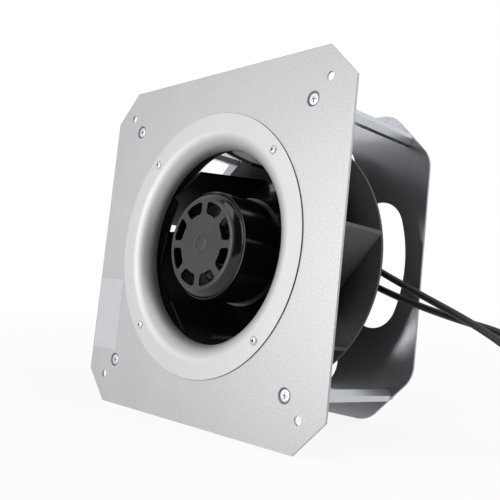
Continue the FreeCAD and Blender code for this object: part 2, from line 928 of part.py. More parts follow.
def coil_layer(level, angle, first):
    """Part of a turn of both leads side by side, as one band with round edges."""
    half = lead_diameter / 2
    inner = coil_radius - half
    outer = coil_radius + half
    low = level * lead_diameter
    high = low + lead_diameter
    edges = [
        line(vector(inner, 0, low), vector(outer, 0, low)),
        arc(vector(outer, 0, low), vector(outer + half, 0, low + half), vector(outer, 0, high)),
        line(vector(outer, 0, high), vector(inner, 0, high)),
        arc(vector(inner, 0, high), vector(inner - half, 0, low + half), vector(inner, 0, low)),
    ]
    band = Part.Face(Part.Wire(edges)).revolve(ORIGIN, vector(0, 0, 1), angle)
    band.rotate(ORIGIN, vector(0, 0, 1), first)
    return band


def lead_coil():
    """Outer shape of the coiled rest of both leads: two layers, the upper one open."""
    lower = coil_layer(0, 360, 0)
    upper = coil_layer(1, 360 - coil_gap_angle, coil_climb_end + coil_gap_angle)
    coil = lower.fuse(upper).removeSplitter()
    coil.translate(vector(coil_centre_x, coil_centre_y, 0))
    return on_floor(coil)


def lead_cores(side):
    """Bare ends of the cores of one lead, lying on the coil inside (-1) or outside (1)."""
    start_angle = coil_climb_end + coil_gap_angle
    radius = coil_radius + side * lead_diameter / 2
    start = on_circle(vector(coil_centre_x, coil_centre_y), radius, start_angle)
    along = on_circle(ORIGIN, 1.0, start_angle - 90)
    across = on_circle(ORIGIN, 1.0, start_angle)
    cores = []
    for number in range(core_count):
        shift = (number - (core_count - 1) / 2) * (core_diameter + core_gap)
        foot = start + across * shift + vector(0, 0, 1.5 * lead_diameter)
        cores.append(Part.makeCylinder(core_diameter / 2, core_length, foot, along))
    return on_floor(Part.makeCompound(cores))


def spacer_names():
    return {(1, 1): "top_right", (-1, 1): "top_left", (1, -1): "bottom_right", (-1, -1): "bottom_left"}


def build():
    parts = {
        "front_plate": front_plate(),
        "inlet_ring": inlet_ring(),
        "inlet_ring_rivets": inlet_ring_rivets(),
        "front_spacer_screws": front_spacer_screws(),
        "rear_plate": rear_plate(),
        "rear_spacer_screws": rear_spacer_screws(),
        "rear_spacer_washers": rear_spacer_washers(),
        "motor_base": motor_base(),
        "motor_base_screws": motor_base_screws(),
        "bearing_cap": bearing_cap(),
        "bearing_outer_rings": bearing_outer_rings(),
        "bearing_balls": bearing_balls(),
        "stator_core": stator_core(),
        "stator_windings": stator_windings(),
        "lead_glands": lead_glands(),
        "lead_upper": lead("lead_upper", upper_route),
        "lead_lower": lead("lead_lower", lower_route),
        "lead_coil": lead_coil(),
        "lead_upper_cores": lead_cores(-1),
        "lead_lower_cores": lead_cores(1),
        "rotor_cup": rotor_cup(),
        "rotor_core": rotor_core(),
        "shaft": shaft(),
        "shaft_clip": shaft_clip(),
        "bearing_inner_rings": bearing_inner_rings(),
        "impeller_wheel": impeller_wheel(),
        "impeller_shroud": impeller_shroud(),
    }
    bar = spacer()
    for corner, name in spacer_names().items():
        parts["spacer_" + name] = at(bar, corner[0] * spacer_place, corner[1] * spacer_place)
    return parts


os.makedirs("parts", exist_ok=True)
print("lean of the standing surface", round(lean, 3), "slope", round(floor_slope, 5))
for name, shape in build().items():
    print(name, "solids", len(shape.Solids), "valid", shape.isValid(), "volume", round(shape.Volume, 1))
    shape.exportStep("parts/" + name + ".step")
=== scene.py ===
import math

import bmesh
import bpy
from bpy.props import FloatProperty, FloatVectorProperty, IntProperty, PointerProperty
from mathutils import Matrix, Vector


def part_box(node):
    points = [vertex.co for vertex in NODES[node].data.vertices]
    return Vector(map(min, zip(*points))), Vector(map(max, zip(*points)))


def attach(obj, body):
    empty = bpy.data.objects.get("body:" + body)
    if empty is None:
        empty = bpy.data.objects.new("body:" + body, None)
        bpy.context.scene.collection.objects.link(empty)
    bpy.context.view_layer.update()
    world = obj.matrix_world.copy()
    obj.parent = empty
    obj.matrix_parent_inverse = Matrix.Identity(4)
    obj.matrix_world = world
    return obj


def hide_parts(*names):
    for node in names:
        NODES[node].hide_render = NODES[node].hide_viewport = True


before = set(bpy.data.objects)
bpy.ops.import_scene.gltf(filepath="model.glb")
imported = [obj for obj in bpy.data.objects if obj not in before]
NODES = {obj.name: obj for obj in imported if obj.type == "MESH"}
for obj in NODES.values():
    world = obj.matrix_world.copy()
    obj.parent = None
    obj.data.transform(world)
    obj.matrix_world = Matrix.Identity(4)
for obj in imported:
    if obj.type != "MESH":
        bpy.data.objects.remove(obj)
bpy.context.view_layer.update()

# A plug fan with an external rotor motor, in metres and in the frame of the CAD model.
# The fan turns about Y, air enters at -Y, X is right as seen from the inlet, Z is up.

bl_info = {
    "name": "Plug fan",
    "version": (1, 0, 0),
    "blender": (4, 5, 0),
    "location": "3D View > Sidebar > Plug fan",
    "description": "Dresses the solids of a plug fan and sets up its studio",
    "category": "Object",
}

MM = 0.001
FIXED = "fan_frame"
TURNING = "rotor"


# Sizes, colours and studio settings that a user would change

def length_property(name, description, default):
    return FloatProperty(name=name, description=description, default=default, unit="LENGTH")


def power_property(name, description, default):
    return FloatProperty(name=name, description=description, default=default, unit="POWER")


def colour_property(name, description, default):
    return FloatVectorProperty(
        name=name, description=description, default=default, subtype="COLOR", size=3, min=0, max=1
    )


class PlugFanSizes(bpy.types.PropertyGroup):
    lead_diameter: length_property("Lead diameter", "Outside diameter of each lead", 0.0058)
    coil_radius: length_property("Coil radius", "Radius midway between both leads in the coil", 0.032)
    edge_round: length_property("Edge rounding", "Width of the rounding on sheet edges", 0.0003)
    sticker_width: length_property("Sticker width", "Width of the bare sticker", 0.0385)
    sticker_height: length_property("Sticker height", "Height of the bare sticker", 0.0668)
    turn_steps: IntProperty(
        name="Steps per turn",
        description="Faces around the inlet ring",
        default=192,
    )


class PlugFanColours(bpy.types.PropertyGroup):
    sheet: colour_property("Sheet", "Galvanised front sheet", (0.422, 0.421, 0.430))
    rear_sheet: colour_property("Rear sheet", "Galvanised rear sheet", (0.38, 0.385, 0.41))
    ring: colour_property("Inlet ring", "Drawn inlet ring", (0.485, 0.485, 0.493))
    zinc: colour_property("Zinc", "Zinc plated screws and bars", (0.56, 0.58, 0.62))
    plastic: colour_property("Impeller plastic", "Black filled plastic", (0.038, 0.038, 0.0415))
    paint: colour_property("Rotor paint", "Black paint of the rotor", (0.020, 0.020, 0.021))
    casting: colour_property("Motor casting", "Painted motor base", (0.040, 0.040, 0.043))
    rubber: colour_property("Lead sheath", "Black sheath of the leads", (0.010, 0.010, 0.011))
    winding: colour_property("Winding", "Varnished winding wire", (0.030, 0.022, 0.018))
    copper: colour_property("Copper", "Bare copper", (0.62, 0.26, 0.14))
    lamination: colour_property("Lamination", "Stacked sheet of both iron cores", (0.25, 0.25, 0.26))
    steel: colour_property("Ground steel", "Shaft, clip and bearings", (0.6, 0.6, 0.62))
    sticker: colour_property("Sticker", "Bare sticker", (0.57, 0.575, 0.60))


class PlugFanStudio(bpy.types.PropertyGroup):
    lens: FloatProperty(
        name="Lens",
        description="Focal length in millimetres on a 36 mm wide sensor",
        default=50.256,
    )
    floor_size: length_property("Floor size", "Side of the pale floor", 24.0)
    key_power: power_property("Key lamp", "Power of the large lamp in front of the inlet", 17.0)
    fill_power: power_property("Fill lamp", "Power of the lamp at the right", 13.0)
    top_power: power_property("Top lamp", "Power of the lamp overhead", 5.0)
    world_strength: FloatProperty(
        name="Room light",
        description="Strength of the even light from all round",
        default=0.45,
    )


def sizes():
    return bpy.context.scene.plug_fan_sizes


def colours():
    return bpy.context.scene.plug_fan_colours


def studio():
    return bpy.context.scene.plug_fan_studio


# Surface that the fan stands on: both plates rest their lower edges on it

PLATE_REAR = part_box("front_plate")[1].y
PLATE_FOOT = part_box("front_plate")[0].z
REAR_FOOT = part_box("rear_plate")[0].z
REAR_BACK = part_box("rear_plate")[1].y
LEAN = math.atan((REAR_FOOT - PLATE_FOOT) / (REAR_BACK - PLATE_REAR))


def on_floor(x, y, height):
    """Point of the leaning floor's own frame, in the frame of the fan."""
    turn = Matrix.Rotation(LEAN, 4, "X")
    foot = Vector((0, PLATE_REAR, PLATE_FOOT))
    return foot + turn @ Vector((x, y - PLATE_REAR, height))


# Node trees

def add(tree, kind, links=(), **values):
    """Node with its settings, and the inputs that are linked or set."""
    node = tree.nodes.new(kind)
    for key, value in values.items():
        setattr(node, key, value)
    for socket, source in links:
        if isinstance(source, bpy.types.NodeSocket):
            tree.links.new(source, node.inputs[socket])
        else:
            node.inputs[socket].default_value = source
    return node


def object_place(tree):
    return add(tree, "ShaderNodeTexCoord").outputs["Object"]


def number(tree, operation, *values):
    """Result of one operation on sockets or numbers."""
    return add(tree, "ShaderNodeMath", enumerate(values), operation=operation).outputs[0]


def vector(tree, operation, *values):
    """Outputs of one operation on vectors."""
    return add(tree, "ShaderNodeVectorMath", enumerate(values), operation=operation).outputs


def noise(tree, place, scale, detail, roughness, distortion=0.0):
    return add(tree, "ShaderNodeTexNoise", [
        ("Vector", place),
        ("Scale", scale),
        ("Detail", detail),
        ("Roughness", roughness),
        ("Distortion", distortion),
    ]).outputs[0]


def ramp(tree, value, start, end, low=0.0, high=1.0):
    """Low up to the start, high from the end on, and an even slope between them."""
    return add(tree, "ShaderNodeMapRange", [
        ("Value", value),
        ("From Min", start),
        ("From Max", end),
        ("To Min", low),
        ("To Max", high),
    ]).outputs[0]


def between(tree, mask, low, high):
    return ramp(tree, mask, 0.0, 1.0, low, high)


# A Mix node has its factor at 0, its numbers at 2 and 3 and its colours at 6 and 7

def two_values(tree, mask, first, second):
    return add(tree, "ShaderNodeMix", [(0, mask), (2, first), (3, second)]).outputs[0]


def two_tones(tree, mask, dark, light, blend="MIX"):
    mix = add(
        tree, "ShaderNodeMix", [(0, mask), (6, dark), (7, light)], data_type="RGBA", blend_type=blend
    )
    return mix.outputs[2]


def multiplied(tree, tone, factor):
    return two_tones(tree, 1.0, tone, factor, blend="MULTIPLY")


# Effects that several materials share

def new_group(name, inputs, outputs):
    """Shader node group, what its input node gives and what its output node takes."""
    group = bpy.data.node_groups.new(name, "ShaderNodeTree")
    for label, kind, value in inputs:
        socket = group.interface.new_socket(label, in_out="INPUT", socket_type=kind)
        if value is not None:
            socket.default_value = value
    for label in outputs:
        group.interface.new_socket(label, in_out="OUTPUT", socket_type="NodeSocketFloat")
    return group, add(group, "NodeGroupInput").outputs, add(group, "NodeGroupOutput").inputs


def speckle_group():
    """Fine even grain: a mask around one half and a matching height."""
    group, given, taken = new_group(
        "fine_speckle",
        [("Vector", "NodeSocketVector", None), ("Scale", "NodeSocketFloat", 900.0)],
        ["Mask", "Height"],
    )
    fine = noise(group, given["Vector"], given["Scale"], detail=3.0, roughness=0.6)
    group.links.new(ramp(group, fine, 0.3, 0.7), taken["Mask"])
    group.links.new(fine, taken["Height"])
    return group


def clouds_group():
    """Broad soft patches, as handling and coating leave them."""
    group, given, taken = new_group(
        "soft_clouds",
        [("Vector", "NodeSocketVector", None), ("Scale", "NodeSocketFloat", 14.0)],
        ["Mask"],
    )
    broad = noise(
        group, given["Vector"], given["Scale"], detail=4.0, roughness=0.55, distortion=0.3
    )
    group.links.new(ramp(group, broad, 0.35, 0.65), taken["Mask"])
    return group


def streaks_group():
    """Height of fine lines from rolling or turning, stretched along one direction."""
    group, given, taken = new_group(
        "drawn_streaks",
        [
            ("Vector", "NodeSocketVector", None),
            ("Stretch", "NodeSocketVector", (4.0, 4.0, 700.0)),
        ],
        ["Height"],
    )
    stretched = vector(group, "MULTIPLY", given["Vector"], given["Stretch"])[0]
    group.links.new(noise(group, stretched, 1.0, detail=3.0, roughness=0.65), taken["Height"])
    return group


GROUP_MAKERS = {
    "fine_speckle": speckle_group,
    "soft_clouds": clouds_group,
    "drawn_streaks": streaks_group,
}


def shared(tree, name, **values):
    """Outputs of a shared group, which is built when it is first used."""
    group = bpy.data.node_groups.get(name) or GROUP_MAKERS[name]()
    return add(tree, "ShaderNodeGroup", values.items(), node_tree=group).outputs


def from_axis(tree, place):
    """Distance from the fan axis."""
    across = vector(tree, "MULTIPLY", place, (1, 0, 1))[0]
    return vector(tree, "LENGTH", across)["Value"]


def from_nearest_corner(tree, place, reach):
    """Distance across the fan axis from the nearest of four places at a reach in X and Z."""
    axes = add(tree, "ShaderNodeSeparateXYZ", [(0, place)]).outputs
    sides = []
    for label in ("X", "Z"):
        sides.append(number(tree, "SUBTRACT", number(tree, "ABSOLUTE", axes[label]), reach))
    offset = add(tree, "ShaderNodeCombineXYZ", enumerate(sides)).outputs[0]
    return vector(tree, "LENGTH", offset)["Value"]


# Materials

def shader_of(material):
    return material.node_tree.nodes["Principled BSDF"]


def new_material(name):
    """Material with its tree, shader and object coordinates."""
    material = bpy.data.materials.new(name)
    material.use_nodes = True
    tree = material.node_tree
    return material, tree, shader_of(material), object_place(tree)


def shaded(colour, factor):
    return tuple(min(1.0, channel * factor) for channel in colour) + (1.0,)


def bumped(tree, shader, height, strength, distance):
    bump = add(tree, "ShaderNodeBump", [
        ("Height", height),
        ("Strength", strength),
        ("Distance", distance),
    ])
    tree.links.new(bump.outputs[0], shader.inputs["Normal"])


def shade_over(material, factor):
    """Multiply a finished material's colour by a value that changes over the surface."""
    tree = material.node_tree
    colour = shader_of(material).inputs["Base Color"]
    tree.links.new(multiplied(tree, colour.links[0].from_socket, factor), colour)


def painted_dimple_shade(material, reach, inner, outer, depth):
    """Painted shade in a ring around each of four screws, where the sheet is pressed in."""
    tree = material.node_tree
    away = from_nearest_corner(tree, object_place(tree), reach)
    # Painted shade: darker between the inner and outer radius round each screw
    shade_over(material, ramp(tree, away, inner, outer, depth, 1.0))


def metal_sheet(name, colour, roughness, grain=0.06):
    """Satin galvanised sheet: fine grain, soft patches and a slightly uneven gloss."""
    patch = 0.05
    uneven = 0.015
    material, tree, shader, place = new_material(name)
    speckle = shared(tree, "fine_speckle", Vector=place, Scale=620.0)
    clouds = shared(tree, "soft_clouds", Vector=place, Scale=16.0)
    base = two_tones(tree, speckle["Mask"], shaded(colour, 1 - grain), shaded(colour, 1 + grain))
    cloudy = two_tones(tree, clouds["Mask"], shaded((1, 1, 1), 1 - patch), shaded((1, 1, 1), 1))
    tree.links.new(multiplied(tree, base, cloudy), shader.inputs["Base Color"])
    gloss = between(tree, clouds["Mask"], roughness - uneven, roughness + uneven)
    tree.links.new(gloss, shader.inputs["Roughness"])
    shader.inputs["Metallic"].default_value = 0.85
    bumped(tree, shader, speckle["Height"], strength=0.06, distance=0.05 * MM)
    return material


def satin_black(name, colour, roughness, grain_scale, bump, gloss=0.5):
    """Black plastic or paint with a soft sheen and a fine skin."""
    tone_swing = 0.25
    uneven = 0.04
    material, tree, shader, place = new_material(name)
    speckle = shared(tree, "fine_speckle", Vector=place, Scale=grain_scale)
    clouds = shared(tree, "soft_clouds", Vector=place, Scale=22.0)
    skin = two_values(tree, 0.7, clouds["Mask"], speckle["Mask"])
    tone = two_tones(tree, skin, shaded(colour, 1 - tone_swing), shaded(colour, 1 + tone_swing))
    tree.links.new(tone, shader.inputs["Base Color"])
    rough = between(tree, clouds["Mask"], roughness - uneven, roughness + uneven)
    tree.links.new(rough, shader.inputs["Roughness"])
    shader.inputs["Specular IOR Level"].default_value = gloss
    bumped(tree, shader, speckle["Height"], bump, distance=0.1 * MM)
    return material


# Modelling steps that several pieces share

def deselect():
    bpy.ops.object.select_all(action="DESELECT")


def pick(piece):
    """Select one piece alone and make it the active one."""
    deselect()
    piece.select_set(True)
    bpy.context.view_layer.objects.active = piece


def edit(piece, select="SELECT"):
    """Go into edit mode on one piece with all or nothing selected."""
    pick(piece)
    bpy.ops.object.mode_set(mode="EDIT")
    bpy.ops.mesh.select_all(action=select)


def leave_edit():
    bpy.ops.object.mode_set(mode="OBJECT")


def leave_edit_outwards():
    """Turn all faces outwards and go back to object mode."""
    bpy.ops.mesh.select_all(action="SELECT")
    bpy.ops.mesh.normals_make_consistent(inside=False)
    leave_edit()


def settle(piece):
    """Put a piece's place into its mesh and leave its object at the origin."""
    pick(piece)
    bpy.ops.object.transform_apply(location=True, rotation=True, scale=True)


def modified(piece, kind, **values):
    """Add a modifier with its settings to a piece and apply it."""
    pick(piece)
    modifier = piece.modifiers.new(kind, kind)
    for key, value in values.items():
        setattr(modifier, key, value)
    bpy.ops.object.modifier_apply(modifier=modifier.name)


def smooth(piece, angle=32):
    """Smooth shading below an angle, with the large faces keeping their own direction."""
    pick(piece)
    bpy.ops.object.shade_smooth_by_angle(angle=math.radians(angle))
    modified(piece, "WEIGHTED_NORMAL", mode="FACE_AREA", weight=90, keep_sharp=True)


def rounded(piece, width, angle=38):
    """Round the edges that are sharper than an angle."""
    modified(
        piece,
        "BEVEL",
        width=width,
        segments=2,
        limit_method="ANGLE",
        angle_limit=math.radians(angle),
        use_clamp_overlap=True,
    )


def cut(piece, cutter):
    """Take the cutter's space out of a piece, and the cutter away."""
    modified(piece, "BOOLEAN", operation="DIFFERENCE", solver="EXACT", object=cutter)
    bpy.data.objects.remove(cutter)


def joined(name, pieces):
    deselect()
    for piece in pieces:
        piece.select_set(True)
    bpy.context.view_layer.objects.active = pieces[0]
    bpy.ops.object.join()
    pieces[0].name = name
    return pieces[0]


def copy_of(piece, name):
    """Copy with its own mesh."""
    copy = bpy.data.objects.new(name, piece.data.copy())
    bpy.context.scene.collection.objects.link(copy)
    return copy


def corner_reach(node, head):
    """Distance in X and Z from the fan axis to fasteners with a given head radius."""
    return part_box(node)[1].x - head


def at_four_corners(name, piece, reach):
    """One piece made of four copies around the fan axis, in place of the first."""
    copies = []
    for right in (1, -1):
        for up in (1, -1):
            copy = copy_of(piece, "copy")
            copy.location = (right * reach, 0, up * reach)
            settle(copy)
            copies.append(copy)
    bpy.data.objects.remove(piece)
    return joined(name, copies)


def dressed(piece, body, material, slot_name, *nodes):
    """Give a new piece its material and body, and hide the solids that it stands for."""
    piece.data.materials.clear()
    piece.data.materials.append(material)
    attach(piece, body)
    if nodes:
        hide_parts(*nodes)


def softened(name, node, width, angle=38):
    """Copy of a solid with its triangles merged into faces and its edges rounded."""
    piece = copy_of(NODES[node], name)
    edit(piece)
    bpy.ops.mesh.remove_doubles(threshold=0.004 * MM)
    bpy.ops.mesh.dissolve_limited(angle_limit=math.radians(1.0), delimit=set())
    leave_edit()
    rounded(piece, width, angle)
    smooth(piece)
    return piece


def arc_points(centre, radius, start, end, steps):
    """Points of (radius, place) on an arc between two angles in degrees."""
    points = []
    for step in range(steps + 1):
        turn = math.radians(start + (end - start) * step / steps)
        points.append((centre[0] + radius * math.cos(turn), centre[1] + radius * math.sin(turn)))
    return points


def bowed_line(start, end, bow, steps):
    """Points from start to end on an arc that turns by twice the bow, in degrees."""
    across = end[0] - start[0]
    along = end[1] - start[1]
    radius = math.hypot(across, along) / 2 / math.sin(math.radians(bow))
    first = math.degrees(math.atan2(along, across)) - bow - 90
    centre = (
        start[0] - radius * math.cos(math.radians(first)),
        start[1] - radius * math.sin(math.radians(first)),
    )
    return arc_points(centre, radius, first, first + 2 * bow, steps)


def turned_piece(name, outline, steps):
    """Body of revolution about the fan axis, drawn out ring by ring along its outline.

    An outline that doesn't end on the axis is closed back to its start. One that does is
    filled flat at its first point and merged into one point at its last.
    """
    nearly_none = 0.0001 * MM
    radius, place = outline[0]
    closed = outline[-1][0] > 0
    deselect()
    bpy.ops.mesh.primitive_circle_add(
        vertices=steps,
        radius=radius,
        fill_type="NOTHING" if closed else "NGON",
        location=(0, place, 0),
        rotation=(math.pi / 2, 0, 0),
    )
    piece = bpy.context.object
    piece.name = name
    settle(piece)
    edit(piece, "DESELECT")
    mesh = bmesh.from_edit_mesh(piece.data)
    for edge in mesh.edges:
        edge.select = True
    if not closed:
        bpy.ops.mesh.select_mode(type="EDGE")
    targets = outline[1:] + ([outline[0]] if closed else [])
    before = outline[0]
    for after in targets:
        bpy.ops.mesh.extrude_edges_move()
        scale = max(after[0], nearly_none) / before[0]
        bpy.ops.transform.resize(value=(scale, 1, scale), center_override=(0, before[1], 0))
        bpy.ops.transform.translate(value=(0, after[1] - before[1], 0))
        before = after
    bpy.ops.mesh.select_all(action="SELECT")
    bpy.ops.mesh.remove_doubles(threshold=0.001 * MM)
    leave_edit_outwards()
    return piece


# Leads

UPPER_ROUTE = [
    (0.058, 0.112, 0.002),
    (0.083, 0.112, 0.002),
    (0.128, 0.1115, -0.0181),
    (0.208, 0.110, -0.0502),
    (0.246, 0.1102, -0.0765),
    (0.280, 0.1106, -0.107),
    (0.314, 0.111, -0.1336),
]
LOWER_ROUTE = [
    (0.058, 0.112, -0.013),
    (0.080, 0.112, -0.013),
    (0.122, 0.118, -0.0288),
    (0.170, 0.120, -0.0413),
    (0.220, 0.120, -0.0504),
    (0.256, 0.1192, -0.0725),
    (0.284, 0.1183, -0.1015),
    (0.317, 0.117, -0.13285),
]
UPPER_LENGTH = 0.64
LOWER_LENGTH = 0.70
COIL_CENTRE = (0.352, 0.0832)
COIL_START = 90.0
COIL_CLIMB_END = 145.0
COIL_GAP = 50.0
WHOLE_TURN = 360.0
STEPS_PER_TURN = 16


def coil_points(radius, thickness):
    """Points of one lead's coil: a turn on the floor, a climb, and most of a turn on top."""
    step = WHOLE_TURN / STEPS_PER_TURN
    control_radius = radius / math.cos(math.radians(step / 2))
    flat = WHOLE_TURN + COIL_START - COIL_CLIMB_END - COIL_GAP
    total = flat + WHOLE_TURN
    count = round(total / step)
    points = []
    for place in range(1, count + 1):
        travelled = total * place / count
        climb = min(1.0, max(0.0, (travelled - flat) / COIL_GAP))
        rise = climb * climb * (3 - 2 * climb)
        turn = math.radians(COIL_START - travelled)
        x = COIL_CENTRE[0] + control_radius * math.cos(turn)
        y = COIL_CENTRE[1] + control_radius * math.sin(turn)
        points.append(on_floor(x, y, thickness * (0.5 + rise)))
    return points


def lead_curve(name, points, diameter):
    """Round lead on one smooth NURBS spline."""
    curve = bpy.data.curves.new(name, "CURVE")
    curve.dimensions = "3D"
    curve.bevel_depth = diameter / 2
    curve.bevel_resolution = 6
    curve.use_fill_caps = True
    curve.resolution_u = 12
    spline = curve.splines.new("NURBS")
    spline.points.add(len(points) - 1)
    for point, place in zip(spline.points, points):
        point.co = (*place, 1.0)
    spline.order_u = 3
    spline.use_endpoint_u = True
    piece = bpy.data.objects.new(name, curve)
    bpy.context.scene.collection.objects.link(piece)
    return piece


class PLUGFAN_OT_leads(bpy.types.Operator):
    """Add the two leads with their coiled rest"""

    bl_idname = "plugfan.leads"
    bl_label = "Add leads"

    def execute(self, context):
        diameter = sizes().lead_diameter
        rubber = colours().rubber
        material = satin_black("lead_sheath", rubber, roughness=0.48, grain_scale=700.0, bump=0.15)
        routes = {
            "upper_lead": (UPPER_ROUTE, -1, "lead_upper", "lead_upper_cores", UPPER_LENGTH),
            "lower_lead": (LOWER_ROUTE, 1, "lead_lower", "lead_lower_cores", LOWER_LENGTH),
        }
        for name, (route, side, node, cores, length) in routes.items():
            radius = sizes().coil_radius + side * diameter / 2
            points = [Vector(place) for place in route] + coil_points(radius, diameter)
            piece = lead_curve(name, points, diameter)
            piece.data.materials.append(material)
            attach(piece, FIXED)
            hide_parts(node, "lead_coil")
        return {"FINISHED"}


# Inlet ring

def ring_sheet(name, colour, painted_shade_radius):
    """Drawn sheet with fine circular streaks, and painted shade as a dark line on its outside edge."""
    material, tree, shader, place = new_material(name)
    radius = from_axis(tree, place)
    depth = add(tree, "ShaderNodeSeparateXYZ", [(0, place)]).outputs["Y"]
    section = add(tree, "ShaderNodeCombineXYZ", [(0, radius), (1, depth)]).outputs[0]
    streaks = shared(tree, "drawn_streaks", Vector=section, Stretch=(900.0, 900.0, 1.0))
    speckle = shared(tree, "fine_speckle", Vector=place, Scale=1300.0)
    clouds = shared(tree, "soft_clouds", Vector=place, Scale=12.0)
    grain = two_tones(tree, speckle["Mask"], shaded(colour, 0.96), shaded(colour, 1.04))
    # Painted shade along the outside edge of the flange
    edge = number(tree, "GREATER_THAN", radius, painted_shade_radius)
    tree.links.new(two_tones(tree, edge, grain, shaded(colour, 0.12)), shader.inputs["Base Color"])
    tree.links.new(between(tree, clouds["Mask"], 0.535, 0.565), shader.inputs["Roughness"])
    shader.inputs["Metallic"].default_value = 0.9
    bumped(tree, shader, streaks["Height"], strength=0.05, distance=0.05 * MM)
    return material


class PLUGFAN_OT_inlet_ring(bpy.types.Operator):
    """Turn the inlet ring with its flange, bellmouth and throat"""

    bl_idname = "plugfan.inlet_ring"
    bl_label = "Add inlet ring"

    def execute(self, context):
        low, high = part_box("inlet_ring")
        outer = high.x
        sheet = -low.y
        bell = 15 * MM
        throat = 84 * MM
        lip = 0.25 * MM
        bell_steps = 22
        centre = (throat + bell, bell - sheet)
        outline = [(outer, 0.0), (outer, -sheet + lip), (outer - lip, -sheet)]
        outline += arc_points(centre, bell, 270, 180, bell_steps)
        outline += [(throat, high.y - lip), (throat + lip, high.y), (throat + sheet, high.y)]
        outline += arc_points(centre, bell - sheet, 180, 270, bell_steps)
        piece = turned_piece("inlet_ring_drawn", outline, sizes().turn_steps)
        smooth(piece)
        material = ring_sheet("drawn_ring", colours().ring, outer - 0.5 * lip)
        dressed(piece, FIXED, material, "ring_sheet", "inlet_ring")
        return {"FINISHED"}


# Sheets and bars with rounded edges

SCREW_HEAD = 4.6 * MM


class PLUGFAN_OT_sheets(bpy.types.Operator):
    """Round the edges of both plates and of the bars between them"""

    bl_idname = "plugfan.sheets"
    bl_label = "Add plates and bars"

    def execute(self, context):
        width = sizes().edge_round
        tone = colours()
        front = metal_sheet("front_sheet", tone.sheet, roughness=0.48, grain=0.11)
        reach = corner_reach("front_spacer_screws", SCREW_HEAD)
        # Painted shade in the pressed-in rings round the four screws of the front sheet
        painted_dimple_shade(front, reach, inner=5.4 * MM, outer=6.7 * MM, depth=0.2)
        # Faint marks showed on the rear sheet at a roughness of 0.26, and none were seen at 0.255
        rear = metal_sheet("rear_sheet", tone.rear_sheet, roughness=0.255, grain=0.10)
        bar = metal_sheet("bar_zinc", tone.zinc, roughness=0.30, grain=0.04)
        plate = softened("front_sheet", "front_plate", width)
        dressed(plate, FIXED, front, "front_sheet", "front_plate")
        plate = softened("rear_sheet", "rear_plate", width)
        dressed(plate, FIXED, rear, "rear_sheet", "rear_plate")
        for node in [name for name in NODES if name.startswith("spacer_")]:
            piece = softened("bar" + node.removeprefix("spacer"), node, width)
            dressed(piece, FIXED, bar, "spacer_steel", node)
        return {"FINISHED"}


# Screws, rivets and sticker

def cross_cutter(width, length, depth, place):
    """Two crossed bars that taper to the floor of the recess."""
    taper = 0.55
    bars = []
    for turn in (0, math.pi / 2):
        deselect()
        bpy.ops.mesh.primitive_cube_add(size=1, location=(0, place, 0), rotation=(0, turn, 0))
        bar = bpy.context.object
        bar.scale = (length, 2 * depth, width)
        settle(bar)
        edit(bar, "DESELECT")
        mesh = bmesh.from_edit_mesh(bar.data)
        for face in mesh.faces:
            face.select = face.normal.y > 0.9
        bpy.ops.transform.resize(value=(taper, 1, taper), center_override=(0, place + depth, 0))
        leave_edit()
        bars.append(bar)
    return bars


class PLUGFAN_OT_screws(bpy.types.Operator):
    """Model one cross recess screw and copy it to the four bars"""

    bl_idname = "plugfan.screws"
    bl_label = "Add front screws"

    def execute(self, context):
        low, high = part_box("front_spacer_screws")
        shank = 2.5 * MM
        rim = low.y + 0.3 * MM
        crown = 0.12 * MM
        outline = [(0.3 * MM, low.y), (SCREW_HEAD - 1.2 * MM, low.y), (SCREW_HEAD, low.y + crown)]
        outline += [(SCREW_HEAD, rim), (shank, rim + SCREW_HEAD - shank)]
        outline += [(shank, high.y), (0.0, high.y)]
        screw = turned_piece("screw", outline, steps=64)
        for bar in cross_cutter(width=1.0 * MM, length=5.0 * MM, depth=1.6 * MM, place=low.y):
            cut(screw, bar)
        rounded(screw, 0.12 * MM, angle=30)
        reach = corner_reach("front_spacer_screws", SCREW_HEAD)
        piece = at_four_corners("cross_screws", screw, reach)
        smooth(piece, 25)
        material = metal_sheet("screw_zinc", colours().zinc, roughness=0.36, grain=0.05)
        dressed(piece, FIXED, material, "zinc_screws", "front_spacer_screws")
        return {"FINISHED"}


RIVET_HEAD = 3.75 * MM
RIVET_MOUTH = 1.0 * MM


def rivet_outline():
    """Section of a set rivet: mouth, domed head on the ring, stem and spread tail."""
    low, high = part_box("inlet_ring_rivets")
    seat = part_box("inlet_ring")[0].y
    crown = low.y
    mouth_floor = crown + 0.9 * MM
    stem = 2.0 * MM
    plate_rear = 2.0 * MM
    outline = [(RIVET_MOUTH * 0.2, mouth_floor), (RIVET_MOUTH, mouth_floor)]
    outline += [(RIVET_MOUTH, crown + 0.15 * MM), (RIVET_MOUTH + 0.15 * MM, crown)]
    outline += [(RIVET_MOUTH + 0.8 * MM, crown + 0.12 * MM), (RIVET_HEAD - 0.9 * MM, crown + 0.55 * MM)]
    outline += [(RIVET_HEAD - 0.2 * MM, crown + 1.0 * MM), (RIVET_HEAD, seat - 0.08 * MM)]
    outline += [(RIVET_HEAD, seat), (stem, seat), (stem, plate_rear), (2.8 * MM, plate_rear)]
    return outline + [(stem, high.y), (0.0, high.y)]


def rivet_metal(name, colour):
    """Bright head, with painted shade in the mouth near each axis."""
    material, tree, shader, place = new_material(name)
    away = from_nearest_corner(tree, place, corner_reach("inlet_ring_rivets", RIVET_HEAD))
    # Painted shade inside the mouth of each rivet
    inside = ramp(tree, away, RIVET_MOUTH, RIVET_MOUTH + 0.25 * MM, 1.0, 0.0)
    speckle = shared(tree, "fine_speckle", Vector=place, Scale=1500.0)
    bright = two_tones(tree, speckle["Mask"], shaded(colour, 1.05), shaded(colour, 1.2))
    tree.links.new(two_tones(tree, inside, bright, shaded(colour, 0.06)), shader.inputs["Base Color"])
    shader.inputs["Metallic"].default_value = 0.9
    shader.inputs["Roughness"].default_value = 0.42
    return material


